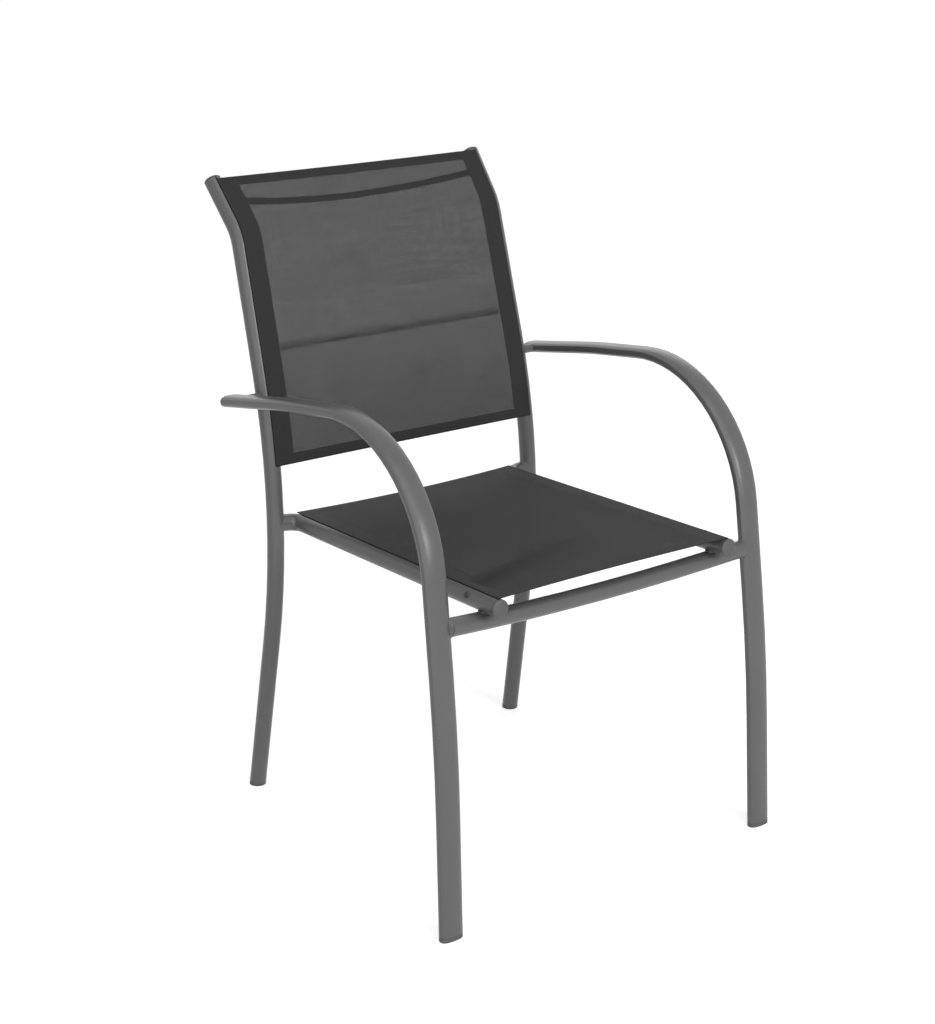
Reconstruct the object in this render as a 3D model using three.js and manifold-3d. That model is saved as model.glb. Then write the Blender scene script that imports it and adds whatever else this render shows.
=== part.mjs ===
// Sling patio chair: bent and welded tubes with a fabric seat and a fabric back stretched between them.
// Millimetres, +Z up. The origin is on the floor in the middle of the chair, the sitter faces -Y,
// and left and right are as seen from the front, so right is +X.
import * as THREE from 'three';
import { mergeVertices } from 'three/addons/utils/BufferGeometryUtils.js';
import Module from 'manifold-3d';

const wasm = await Module();
wasm.setup();

// Play between pieces that touch, and how far a cutting solid reaches past what it cuts
const GAP = 0.3;
const OVERRUN = 4;

// Round tube of the uprights, seat rails and front crossbar
const TUBE_DIAMETER = 25;
const TUBE_WALL = 1.5;

// Flat oval tube that is front leg and arm in one: across the chair, and in the plane of its bends
const ARM_TUBE_WIDTH = 35;
const ARM_TUBE_THICKNESS = 17;
const ARM_TUBE_WALL = 1.5;
const ARM_TUBE_FLATNESS_share = 2.6;

// Uprights: distance between their centre lines at the seat bend, that bend's place, and how far
// the other corners of each centre line stand behind, above and outside it
const BACK_WIDTH = 458;
const SEAT_BEND_BEHIND_MIDDLE = 149;
const SEAT_BEND_HEIGHT = 444;
const SEAT_BEND_RADIUS = 885;
const REAR_LEG_RAKE = 78;
const REAR_LEG_SPLAY = 12;
const BACK_RAKE = 111;
const BACK_RISE = 389;
const BACK_TAPER = 7;
const SHOULDER_RADIUS = 70;
const TOP_RAKE = 60;
const TOP_RISE = 67;
const TOP_FLARE = 5;

// Front legs and arms: the corner where the leg becomes the arm, and how far the other corners of
// the centre line stand ahead of, behind, below and outside it
const ARM_CORNER_AHEAD_OF_MIDDLE = 247;
const ARM_CORNER_HEIGHT = 680;
const ARM_CORNER_RADIUS = 200;
const SHIN_RAKE = 15;
const SHIN_RISE = 264;
const KNEE_RADIUS = 2340;
const LEG_RAKE = 58;
const LEG_SPLAY = 11;
const ARM_FRONT_LENGTH = 307;
const ARM_FRONT_DROP = 43;
const ARM_MIDDLE_RADIUS = 1000;
const ARM_REAR_SLOPE_DEGREES = 10.54;
const ARM_PAST_UPRIGHT = 17;
const ARM_TAPER = 5;
const ARM_SPACER_LENGTH = 14;
const ARM_SPACER_DIAMETER = 13;

// Seat rails: how far inside the uprights they run, their height over the front crossbar, how much
// lower they are at the rear corner, how much the end behind that corner climbs, and its bend
const RAIL_STEP_IN = 36.5;
const RAIL_TAPER = 3.5;
const RAIL_HEIGHT = 441.2;
const RAIL_DROP = 16.4;
const RAIL_END_RISE = 4;
const RAIL_BEND_RADIUS = 17;
const RAIL_OVERHANG = 34;

// Crossbars
const FRONT_BAR_BOW_DOWN = 9;
const FRONT_BAR_BOW_BACK = 5;
const FRONT_BAR_BITE = 1;
const REAR_BAR_DIAMETER = 20;
const REAR_BAR_WALL = 1.5;
const REAR_BAR_AHEAD = 62;
const REAR_BAR_DROP = 1;
const REAR_BAR_BOW = 22;
const TOP_BAR_DIAMETER = 10;
const TOP_BAR_WALL = 1.5;
const TOP_BAR_BELOW_END = 32.5;
const TOP_BAR_BOW = 29;

// Slings, the slots that hold their edges, and the rods in their side pockets
const SLING_THICKNESS = 1.2;
const SLOT_PLAY = 0.4;
const KEDER_DIAMETER = 5;
const BACK_SLOT_DEGREES = 4;
const SEAT_SLOT_DEGREES = 3;
const BACK_SLING_ABOVE_RAIL = 88.7;
const BACK_SLING_TOP_MARGIN = 4;
const BACK_SLING_SAG = 2;
const SEAT_SLING_FRONT_MARGIN = 0.5;
const SEAT_SLING_REAR_REACH = 0.5;
const SEAT_FRONT_HOLLOW = 7;
const SEAT_REAR_HOLLOW = 9;
const SEAT_SLING_SAG = 1;

// Caps and plugs
const FOOT_CAP_THICKNESS = 6;
const CAP_SHANK = 12;
const CAP_DOME = 3.5;

// Locking rivet on the outer side of each seat rail
const RIVET_BACK_FROM_END = 56;
const RIVET_DEGREES = 62;
const RIVET_HEAD_DIAMETER = 9.5;
const RIVET_HEAD_HEIGHT = 1.6;
const RIVET_SHANK_DIAMETER = 4.8;
const RIVET_SHANK_LENGTH = 6;

// Fineness of the facets
const ROUND_SIDES = 16;
const BORE_SIDES = 16;
const BAR_BORE_SIDES = 8;
const OVAL_SIDES = 16;
const SMALL_SIDES = 8;
const BEND_SAGITTA = 0.25;
const BOW_STEPS = 8;
const WRAP_STEP_DEGREES = 5;
const SEARCH_ROUNDS = 60;

const tubeRadius = TUBE_DIAMETER / 2;
const boreRadius = tubeRadius - TUBE_WALL;
const X_AXIS = new THREE.Vector3(1, 0, 0);
const Z_AXIS = new THREE.Vector3(0, 0, 1);

const at = (x, y, z) => new THREE.Vector3(x, y, z);
const along = (point, direction, distance) => point.clone().addScaledVector(direction, distance);
const squaredTo = (vector, direction) =>
  vector.clone().addScaledVector(direction, -vector.dot(direction)).normalize();
const circleAt = (turn) => [Math.cos(turn), Math.sin(turn)];

// One straight stretch of a centre line
function straightRun(start, end) {
  const direction = end.clone().sub(start).normalize();
  return {
    length: start.distanceTo(end),
    steps: 1,
    point: (distance) => along(start, direction, distance),
    direction: () => direction.clone(),
  };
}

// One round bend of a centre line
function roundRun(start, ahead, toCentre, radius, turn) {
  const centre = along(start, toCentre, radius);
  const stepTurn = 2 * Math.acos(1 - Math.min(BEND_SAGITTA / radius, 1));
  return {
    length: radius * turn,
    steps: Math.max(2, Math.ceil(turn / stepTurn)),
    point: (distance) => {
      const [c, s] = circleAt(distance / radius);
      return along(along(centre, toCentre, -radius * c), ahead, radius * s);
    },
    direction: (distance) => {
      const [c, s] = circleAt(distance / radius);
      return ahead.clone().multiplyScalar(c).addScaledVector(toCentre, s);
    },
  };
}

// Straight runs between the corner points, with a round bend at each inner corner
function bentRuns(corners, radii) {
  const runs = [];
  let from = corners[0];
  radii.forEach((radius, index) => {
    const corner = corners[index + 1];
    const ahead = corner.clone().sub(corners[index]).normalize();
    const onward = corners[index + 2].clone().sub(corner).normalize();
    const turn = ahead.angleTo(onward);
    const cut = radius * Math.tan(turn / 2);
    const bendStart = along(corner, ahead, -cut);
    runs.push(straightRun(from, bendStart));
    runs.push(roundRun(bendStart, ahead, squaredTo(onward, ahead), radius, turn));
    from = along(corner, onward, cut);
  });
  runs.push(straightRun(from, corners.at(-1)));
  return runs;
}

// A tube's centre line between two distances from its start. Its rings stand only where it bends.
// The section's first axis faces the sitter and its second axis points to the outside of the chair.
class BentLine extends THREE.Curve {
  constructor(runs, frame, start, end) {
    super();
    this.runs = runs;
    this.frame = frame;
    this.start = start;
    this.end = end;
    this.stations = [start];
    let before = 0;
    for (const run of runs) {
      for (let step = 0; step <= run.steps; step += 1) {
        this.stations.push(before + (run.length * step) / run.steps);
      }
      before += run.length;
    }
    this.total = before;
    this.stations.push(end);
    const tooClose = BEND_SAGITTA;
    this.stations = this.stations
      .filter((distance) => distance >= start && distance <= end)
      .sort((a, b) => a - b)
      .filter((distance, index, all) => index === 0 || distance - all[index - 1] > tooClose);
    this.stations[this.stations.length - 1] = end;
    this.steps = this.stations.length - 1;
  }

  stretch(start, end) {
    return new BentLine(this.runs, this.frame, start, end);
  }

  find(distance) {
    let before = 0;
    for (const run of this.runs.slice(0, -1)) {
      if (distance < before + run.length) {
        return [run, distance - before];
      }
      before += run.length;
    }
    return [this.runs.at(-1), distance - before];
  }

  pointAt(distance) {
    const [run, rest] = this.find(distance);
    return run.point(rest);
  }

  axesAt(distance) {
    const [run, rest] = this.find(distance);
    const ahead = run.direction(rest);
    return { ahead, ...this.frame(ahead) };
  }

  // Distance along the line at which a coordinate that grows along it reaches a value
  reaching(coordinate, value) {
    let low = -this.total;
    let high = 2 * this.total;
    for (let round = 0; round < SEARCH_ROUNDS; round += 1) {
      const middle = (low + high) / 2;
      if (this.pointAt(middle)[coordinate] < value) {
        low = middle;
      } else {
        high = middle;
      }
    }
    return low;
  }

  getPointAt(share) {
    return this.pointAt(this.stations[Math.round(share * this.steps)]);
  }

  computeFrenetFrames() {
    const frames = { tangents: [], normals: [], binormals: [] };
    for (const distance of this.stations) {
      const axes = this.axesAt(distance);
      frames.tangents.push(axes.ahead);
      frames.normals.push(axes.facing);
      frames.binormals.push(axes.outward);
    }
    return frames;
  }
}

// Section frames: one keeps its outward axis level across the chair, the other its facing axis upright
function levelAcross(ahead) {
  const outward = squaredTo(X_AXIS, ahead);
  return { outward, facing: outward.clone().cross(ahead) };
}

function levelUpright(ahead) {
  const facing = squaredTo(Z_AXIS, ahead);
  return { facing, outward: ahead.clone().cross(facing) };
}

function bentLine(corners, radii, frame) {
  const runs = bentRuns(corners, radii);
  const total = runs.reduce((sum, run) => sum + run.length, 0);
  return new BentLine(runs, frame, 0, total);
}

// Outlines in a section plane: x faces the sitter, y points outward
function roundOutline(radius, sides, centre = [0, 0]) {
  return Array.from({ length: sides }, (_, index) => {
    const [c, s] = circleAt((2 * Math.PI * index) / sides);
    return new THREE.Vector2(centre[0] + radius * c, centre[1] + radius * s);
  });
}

function ovalOutline(inset) {
  const power = 2 / ARM_TUBE_FLATNESS_share;
  const stretched = (value, half) => Math.sign(value) * half * Math.abs(value) ** power;
  return Array.from({ length: OVAL_SIDES }, (_, index) => {
    const [c, s] = circleAt((2 * Math.PI * index) / OVAL_SIDES);
    const facing = stretched(c, ARM_TUBE_THICKNESS / 2 - inset);
    const outward = stretched(s, ARM_TUBE_WIDTH / 2 - inset);
    return new THREE.Vector2(facing, outward);
  });
}

// A bar across a section, from one radius to another, in a direction turned outward from the front
function radialOutline(degrees, inner, outer, width) {
  const [c, s] = circleAt(THREE.MathUtils.degToRad(degrees));
  const corner = (radius, side) => new THREE.Vector2(radius * c - side * s, radius * s + side * c);
  const half = width / 2;
  return [corner(inner, -half), corner(outer, -half), corner(outer, half), corner(inner, half)];
}

function polar(degrees, radius) {
  const [c, s] = circleAt(THREE.MathUtils.degToRad(degrees));
  return [radius * c, radius * s];
}

// Solids
function sweep(outline, line, bore = null, steps = line.steps) {
  const shape = new THREE.Shape(outline);
  if (bore) {
    shape.holes.push(new THREE.Path(bore));
  }
  return new THREE.ExtrudeGeometry(shape, { extrudePath: line, steps, curveSegments: 1 });
}

function toManifold(geometry) {
  const bare = new THREE.BufferGeometry();
  bare.setAttribute('position', geometry.getAttribute('position').clone());
  if (geometry.index) {
    bare.setIndex(geometry.index.clone());
  }
  const merged = mergeVertices(bare);
  return new wasm.Manifold(new wasm.Mesh({
    numProp: 3,
    vertProperties: new Float32Array(merged.getAttribute('position').array),
    triVerts: new Uint32Array(merged.index.array),
  }));
}

function toGeometry(manifold) {
  const mesh = manifold.getMesh();
  const geometry = new THREE.BufferGeometry();
  geometry.setAttribute('position', new THREE.BufferAttribute(mesh.vertProperties, 3));
  geometry.setIndex(new THREE.BufferAttribute(mesh.triVerts, 1));
  return geometry;
}

function cut(geometry, ...cutters) {
  const start = toManifold(geometry);
  return toGeometry(cutters.reduce((solid, cutter) => solid.subtract(toManifold(cutter)), start));
}

function join(geometry, ...others) {
  const start = toManifold(geometry);
  return toGeometry(others.reduce((solid, other) => solid.add(toManifold(other)), start));
}

function mirrored(geometry) {
  const copy = geometry.clone().applyMatrix4(new THREE.Matrix4().makeScale(-1, 1, 1));
  const solid = copy.index ? copy : mergeVertices(copy);
  const index = solid.index.array;
  for (let corner = 0; corner < index.length; corner += 3) {
    [index[corner + 1], index[corner + 2]] = [index[corner + 2], index[corner + 1]];
  }
  return solid;
}

// A closed solid between two grids of points with the same rows and columns
function gridSolid(outer, inner) {
  const rows = outer.length;
  const columns = outer[0].length;
  const points = [...outer.flat(), ...inner.flat()];
  const over = (row, column) => row * columns + column;
  const under = (row, column) => rows * columns + over(row, column);
  const index = [];
  const quad = (a, b, c, d) => index.push(a, b, c, a, c, d);
  for (let row = 0; row < rows - 1; row += 1) {
    for (let column = 0; column < columns - 1; column += 1) {
      const corners = [[row, column], [row, column + 1], [row + 1, column + 1], [row + 1, column]];
      quad(...corners.map(([r, c]) => over(r, c)));
      quad(...corners.reverse().map(([r, c]) => under(r, c)));
    }
    const last = columns - 1;
    quad(over(row, 0), over(row + 1, 0), under(row + 1, 0), under(row, 0));
    quad(over(row + 1, last), over(row, last), under(row, last), under(row + 1, last));
  }
  for (let column = 0; column < columns - 1; column += 1) {
    const last = rows - 1;
    quad(over(0, column + 1), over(0, column), under(0, column), under(0, column + 1));
    quad(over(last, column), over(last, column + 1), under(last, column + 1), under(last, column));
  }
  const geometry = new THREE.BufferGeometry().setFromPoints(points);
  geometry.setIndex(index);
  return geometry;
}

// A closed solid of rings stacked along a direction, each ring counter-clockwise seen from its end
function stackSolid(rings) {
  const count = rings[0].length;
  const points = [...rings.flat()];
  const index = [];
  for (let level = 0; level < rings.length - 1; level += 1) {
    for (let corner = 0; corner < count; corner += 1) {
      const next = (corner + 1) % count;
      const [a, b] = [level * count + corner, level * count + next];
      index.push(a, b, b + count, a, b + count, a + count);
    }
  }
  const top = (rings.length - 1) * count;
  for (let corner = 1; corner < count - 1; corner += 1) {
    index.push(0, corner + 1, corner, top, top + corner, top + corner + 1);
  }
  const geometry = new THREE.BufferGeometry().setFromPoints(points);
  geometry.setIndex(index);
  return geometry;
}

// Solid of rings that stand square to a tube's end. A level is a distance out of the tube and an inset.
function endSolid(line, distance, outSign, outline, levels) {
  const centre = line.pointAt(distance);
  const { ahead, facing, outward } = line.axesAt(distance);
  const rings = levels.map(([out, inset]) => outline(inset).map((corner) => {
    const middle = along(centre, ahead, outSign * out);
    return along(along(middle, facing, corner.x), outward, corner.y);
  }));
  return stackSolid(outSign > 0 ? rings : rings.reverse());
}

const roundInset = (inset) => roundOutline(tubeRadius - inset, ROUND_SIDES);

// Levels of a plug: a shank inside the tube, a gap, and a domed head whose profile is given
// as shares of its height, each a rise and an inset
const domeShares = [[0.45, 0], [0.8, 0.3], [1, 0.95]];

function plugLevels(wall) {
  const shank = wall + GAP;
  const head = domeShares.map(([rise, inset]) => [GAP + CAP_DOME * rise, CAP_DOME * inset]);
  return [[-CAP_SHANK, shank], [GAP, shank], [GAP, 0], ...head];
}

// Levels of a foot cap, which reaches down through the floor and is cut off flat there
function footLevels(wall) {
  const shank = wall + GAP;
  return [[-CAP_SHANK, shank], [GAP, shank], [GAP, 0], [FOOT_CAP_THICKNESS + 2 * OVERRUN, 0]];
}

function cutAtFloor(geometry) {
  const side = 2 * (ARM_CORNER_HEIGHT + ARM_CORNER_AHEAD_OF_MIDDLE);
  const below = new THREE.BoxGeometry(side, side, side).translate(0, 0, -side / 2);
  return cut(geometry, below);
}

// Centre lines of the right side
const uprightX = BACK_WIDTH / 2;
const shoulder = at(
  uprightX - BACK_TAPER,
  SEAT_BEND_BEHIND_MIDDLE + BACK_RAKE,
  SEAT_BEND_HEIGHT + BACK_RISE,
);
const uprightLine = bentLine([
  at(uprightX + REAR_LEG_SPLAY, SEAT_BEND_BEHIND_MIDDLE + REAR_LEG_RAKE, 0),
  at(uprightX, SEAT_BEND_BEHIND_MIDDLE, SEAT_BEND_HEIGHT),
  shoulder,
  shoulder.clone().add(at(TOP_FLARE, TOP_RAKE, TOP_RISE)),
], [SEAT_BEND_RADIUS, SHOULDER_RADIUS], levelAcross);

// Where the arm passes the upright, seen from the side
const armMiddle = at(0, ARM_FRONT_LENGTH - ARM_CORNER_AHEAD_OF_MIDDLE, ARM_CORNER_HEIGHT - ARM_FRONT_DROP);
const armSlope = Math.tan(THREE.MathUtils.degToRad(ARM_REAR_SLOPE_DEGREES));
let armJoint = uprightLine.pointAt(uprightLine.reaching('z', armMiddle.z));
for (let round = 0; round < SEARCH_ROUNDS; round += 1) {
  const height = armMiddle.z - armSlope * (armJoint.y - armMiddle.y);
  armJoint = uprightLine.pointAt(uprightLine.reaching('z', height));
}
const armRear = along(armJoint, at(0, 1, -armSlope).normalize(), ARM_PAST_UPRIGHT);
const kneeY = -ARM_CORNER_AHEAD_OF_MIDDLE - LEG_RAKE;
const armFrontShare = ARM_FRONT_LENGTH / (armRear.y + ARM_CORNER_AHEAD_OF_MIDDLE);
const shinShare = SHIN_RISE / ARM_CORNER_HEIGHT;

function armLineThrough(rearX) {
  const cornerX = rearX - ARM_TAPER;
  return bentLine([
    at(cornerX + LEG_SPLAY, kneeY - SHIN_RAKE, 0),
    at(cornerX + LEG_SPLAY * (1 - shinShare), kneeY, SHIN_RISE),
    at(cornerX, -ARM_CORNER_AHEAD_OF_MIDDLE, ARM_CORNER_HEIGHT),
    at(cornerX + ARM_TAPER * armFrontShare, armMiddle.y, armMiddle.z),
    at(rearX, armRear.y, armRear.z),
  ], [KNEE_RADIUS, ARM_CORNER_RADIUS, ARM_MIDDLE_RADIUS], levelAcross);
}

const armLine = armLineThrough(armJoint.x + tubeRadius + ARM_SPACER_LENGTH + ARM_TUBE_WIDTH / 2);

// The front crossbar's middle line meets the legs just below the rails that rest on it
const railX = uprightX - RAIL_STEP_IN;
const legAtSeat = armLine.pointAt(armLine.reaching('z', RAIL_HEIGHT - TUBE_DIAMETER));
const barEndX = legAtSeat.x - ARM_TUBE_WIDTH / 2 + FRONT_BAR_BITE;
const railShare = 1 - ((railX + RAIL_TAPER) / barEndX) ** 2;
const barUnderRailZ = RAIL_HEIGHT - TUBE_DIAMETER - GAP;
const frontBarEnd = at(barEndX, legAtSeat.y, barUnderRailZ + FRONT_BAR_BOW_DOWN * railShare);

// A bar between its end on the right and the same place on the left, bowed by a vector at its middle
function bowedLine(end, bow) {
  const control = at(0, end.y, end.z).addScaledVector(bow, 2);
  return new THREE.QuadraticBezierCurve3(at(-end.x, end.y, end.z), control, end.clone());
}

const frontBarLine = bowedLine(frontBarEnd, at(0, FRONT_BAR_BOW_BACK, -FRONT_BAR_BOW_DOWN));

// Seat rail: over the front crossbar, straight back, then outward into the upright
const railRearZ = RAIL_HEIGHT - RAIL_DROP;
const railJoint = uprightLine.pointAt(uprightLine.reaching('z', railRearZ + RAIL_END_RISE));
const railRearCorner = at(railX, railJoint.y, railRearZ);
const barUnderRailY = frontBarEnd.y + FRONT_BAR_BOW_BACK * railShare;
const railOverBar = at(railX + RAIL_TAPER, barUnderRailY, RAIL_HEIGHT);
const railAhead = railOverBar.clone().sub(railRearCorner).normalize();
const railFrontEnd = along(railOverBar, railAhead, RAIL_OVERHANG);
const railLine = bentLine([railFrontEnd, railRearCorner, railJoint], [RAIL_BEND_RADIUS], levelUpright);
const railStraight = bentLine([railFrontEnd, railRearCorner], [], levelUpright);
const railBendStart = railStraight.total - RAIL_BEND_RADIUS;

// Solids a little fatter than the tubes, to cut what meets them
const fatUpright = sweep(roundOutline(tubeRadius + GAP, ROUND_SIDES), uprightLine);
const fatArm = sweep(ovalOutline(-GAP), armLine);
const fatRail = sweep(roundOutline(tubeRadius + GAP, ROUND_SIDES), railLine);

const frameMaterial = { color: 0x6a6a6a, roughness: 0.45, metalness: 0.35 };
const capMaterial = { color: 0x5c5c5c, roughness: 0.6, metalness: 0 };
const slingMaterial = { color: 0x474747, roughness: 0.75, metalness: 0 };
const kederMaterial = { color: 0x2b2b2b, roughness: 0.5, metalness: 0 };
const rivetMaterial = { color: 0x333333, roughness: 0.5, metalness: 0 };

const chair = new THREE.Group();

function addPart(name, geometry, material) {
  const mesh = new THREE.Mesh(geometry, new THREE.MeshStandardMaterial(material));
  mesh.name = name;
  chair.add(mesh);
}

function addPair(name, geometry, material) {
  addPart(`right_${name}`, geometry, material);
  addPart(`left_${name}`, mirrored(geometry), material);
}

// The part of a line that holds a sling's edge, and the slot in the tube there
const slotWidth = SLING_THICKNESS + 2 * SLOT_PLAY;
const kederReach = boreRadius - GAP - KEDER_DIAMETER / 2;
const backSlotStart = uprightLine.reaching('z', railRearZ + BACK_SLING_ABOVE_RAIL);
const backSlingEnd = uprightLine.total - BACK_SLING_TOP_MARGIN;

function slotCutter(line, degrees) {
  const inner = boreRadius - TUBE_WALL;
  return sweep(radialOutline(degrees, inner, tubeRadius + OVERRUN, slotWidth), line);
}

function roundTube(line) {
  return sweep(roundOutline(tubeRadius, ROUND_SIDES), line, roundOutline(boreRadius, BORE_SIDES));
}

function addUprights() {
  const line = uprightLine.stretch(FOOT_CAP_THICKNESS, uprightLine.total);
  const slotLine = uprightLine.stretch(backSlotStart - SLOT_PLAY, uprightLine.total + OVERRUN);
  const tube = cut(roundTube(line), slotCutter(slotLine, BACK_SLOT_DEGREES));
  addPair('upright', tube, frameMaterial);
  const cap = endSolid(uprightLine, uprightLine.total, 1, roundInset, plugLevels(TUBE_WALL));
  addPair('top_cap', cap, capMaterial);
  const foot = endSolid(uprightLine, FOOT_CAP_THICKNESS, -1, roundInset, footLevels(TUBE_WALL));
  addPair('rear_foot', cutAtFloor(foot), capMaterial);
}

function addArms() {
  const line = armLine.stretch(FOOT_CAP_THICKNESS, armLine.total);
  addPair('front_leg_arm', sweep(ovalOutline(0), line, ovalOutline(ARM_TUBE_WALL)), frameMaterial);
  const cap = endSolid(armLine, armLine.total, 1, ovalOutline, plugLevels(ARM_TUBE_WALL));
  addPair('arm_cap', cap, capMaterial);
  const foot = endSolid(armLine, FOOT_CAP_THICKNESS, -1, ovalOutline, footLevels(ARM_TUBE_WALL));
  addPair('front_foot', cutAtFloor(foot), capMaterial);
}

// Short stub between the upright and the arm that passes outside it
function addArmSpacers() {
  const armCentre = along(armJoint, X_AXIS, tubeRadius + ARM_SPACER_LENGTH + ARM_TUBE_WIDTH / 2);
  const path = new THREE.LineCurve3(armJoint, armCentre);
  const stub = sweep(roundOutline(ARM_SPACER_DIAMETER / 2, ROUND_SIDES), path, null, 1);
  addPair('arm_spacer', cut(stub, fatUpright, fatArm), frameMaterial);
}

function rivetPlace() {
  const { facing, outward, ahead } = railLine.axesAt(RIVET_BACK_FROM_END);
  const [up, side] = polar(RIVET_DEGREES, 1);
  const out = facing.clone().multiplyScalar(up).addScaledVector(outward, side);
  const seat = along(railLine.pointAt(RIVET_BACK_FROM_END), out, tubeRadius);
  return new THREE.Matrix4().makeBasis(out.clone().cross(ahead), out, ahead).setPosition(seat);
}

function lathe(profile, matrix) {
  const points = profile.map(([radius, height]) => new THREE.Vector2(radius, height));
  return new THREE.LatheGeometry(points, SMALL_SIDES).applyMatrix4(matrix);
}

function addRails() {
  const hole = RIVET_SHANK_DIAMETER / 2 + GAP;
  const depth = -2 * TUBE_WALL;
  const drill = lathe([[0, depth], [hole, depth], [hole, OVERRUN], [0, OVERRUN]], rivetPlace());
  const slotLine = railStraight.stretch(-OVERRUN, railBendStart);
  const tube = cut(roundTube(railLine), slotCutter(slotLine, SEAT_SLOT_DEGREES), drill, fatUpright);
  addPair('seat_rail', tube, frameMaterial);
  const plug = endSolid(railLine, 0, -1, roundInset, plugLevels(TUBE_WALL));
  addPair('rail_plug', plug, capMaterial);
}

function addRivets() {
  const shank = RIVET_SHANK_DIAMETER / 2;
  const head = RIVET_HEAD_DIAMETER / 2;
  const headShares = [[1, 0], [0.85, 0.7], [0, 1]];
  const rivet = lathe([
    [0, -RIVET_SHANK_LENGTH],
    [shank, -RIVET_SHANK_LENGTH],
    [shank, GAP],
    ...headShares.map(([across, rise]) => [head * across, GAP + RIVET_HEAD_HEIGHT * rise]),
  ], rivetPlace());
  addPair('rail_rivet', rivet, rivetMaterial);
}

function addCrossbars() {
  const tube = (diameter, wall, line) => {
    const bore = roundOutline(diameter / 2 - wall, BAR_BORE_SIDES);
    return sweep(roundOutline(diameter / 2, ROUND_SIDES), line, bore, BOW_STEPS);
  };
  const front = tube(TUBE_DIAMETER, TUBE_WALL, frontBarLine);
  addPart('front_crossbar', cut(front, fatArm, mirrored(fatArm)), frameMaterial);
  const place = railStraight.pointAt(railStraight.total - REAR_BAR_AHEAD);
  const rearEnd = at(place.x, place.y, place.z - REAR_BAR_DROP);
  const rear = tube(REAR_BAR_DIAMETER, REAR_BAR_WALL, bowedLine(rearEnd, at(0, 0, -REAR_BAR_BOW)));
  addPart('rear_crossbar', cut(rear, fatRail, mirrored(fatRail)), frameMaterial);
  const topDistance = uprightLine.total - TOP_BAR_BELOW_END;
  const rearward = uprightLine.axesAt(topDistance).facing.clone().projectOnPlane(X_AXIS).normalize();
  const topLine = bowedLine(uprightLine.pointAt(topDistance), rearward.multiplyScalar(-TOP_BAR_BOW));
  const top = tube(TOP_BAR_DIAMETER, TOP_BAR_WALL, topLine);
  addPart('top_crossbar', cut(top, fatUpright, mirrored(fatUpright)), frameMaterial);
}

function addKeders() {
  const shape = (degrees) => roundOutline(KEDER_DIAMETER / 2, SMALL_SIDES, polar(degrees, kederReach));
  const backLine = uprightLine.stretch(backSlotStart, uprightLine.total - CAP_SHANK - GAP);
  addPair('back_keder', sweep(shape(BACK_SLOT_DEGREES), backLine), kederMaterial);
  const seatLine = railStraight.stretch(CAP_SHANK + GAP, railBendStart);
  addPair('seat_keder', sweep(shape(SEAT_SLOT_DEGREES), seatLine), kederMaterial);
}

// A sling between the right line and its mirror image. It lies on the tubes, wraps outward over them
// to the slots, and its edges go in there.
const middleShares = [-0.8, -0.55, -0.3, 0, 0.3, 0.55, 0.8];

function wrapTurns(degrees) {
  const steps = Math.ceil(degrees / WRAP_STEP_DEGREES);
  return Array.from({ length: steps }, (_, index) => (degrees * (index + 1)) / steps);
}

function slingSheet(line, degrees, hollows, sag) {
  const radius = tubeRadius + GAP;
  const columns = [
    ...wrapTurns(degrees).map((turn) => [-1, turn]).reverse(),
    ...middleShares.map((share) => [share, 0]),
    ...wrapTurns(degrees).map((turn) => [1, turn]),
  ];
  const length = line.end - line.start;
  const surface = (height) => line.stations.map((station) => columns.map(([share, turn]) => {
    const inward = 1 - share * share;
    const shift = (station - line.start) / length;
    const distance = station + inward * (hollows[0] * (1 - shift) - hollows[1] * shift);
    const { facing, outward } = line.axesAt(distance);
    const [rise, aside] = polar(turn, radius + height);
    const lifted = along(line.pointAt(distance), facing, rise - sag * inward);
    const point = along(lifted, outward, aside);
    return at(share * point.x, point.y, point.z);
  }));
  return gridSolid(surface(SLING_THICKNESS), surface(0));
}

function tongue(line, degrees) {
  const outer = tubeRadius + GAP + SLING_THICKNESS / 2;
  return sweep(radialOutline(degrees, boreRadius, outer, SLING_THICKNESS), line);
}

function addSlings() {
  const backLine = uprightLine.stretch(backSlotStart, backSlingEnd);
  const backTongue = tongue(backLine, BACK_SLOT_DEGREES);
  const back = slingSheet(backLine, BACK_SLOT_DEGREES, [0, 0], BACK_SLING_SAG);
  addPart('back_sling', join(back, backTongue, mirrored(backTongue)), slingMaterial);
  const seatEnd = railStraight.total + SEAT_SLING_REAR_REACH;
  const seatLine = railStraight.stretch(SEAT_SLING_FRONT_MARGIN, seatEnd);
  const slotLine = railStraight.stretch(SEAT_SLING_FRONT_MARGIN, railBendStart - GAP);
  const seatTongue = tongue(slotLine, SEAT_SLOT_DEGREES);
  const hollows = [SEAT_FRONT_HOLLOW, SEAT_REAR_HOLLOW];
  const seat = slingSheet(seatLine, SEAT_SLOT_DEGREES, hollows, SEAT_SLING_SAG);
  addPart('seat_sling', join(seat, seatTongue, mirrored(seatTongue)), slingMaterial);
}

addUprights();
addArms();
addArmSpacers();
addRails();
addRivets();
addCrossbars();
addKeders();
addSlings();

export default chair;
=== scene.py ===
import math

import bpy
import numpy as np
from mathutils import Matrix, Vector
from mathutils.bvhtree import BVHTree


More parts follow.
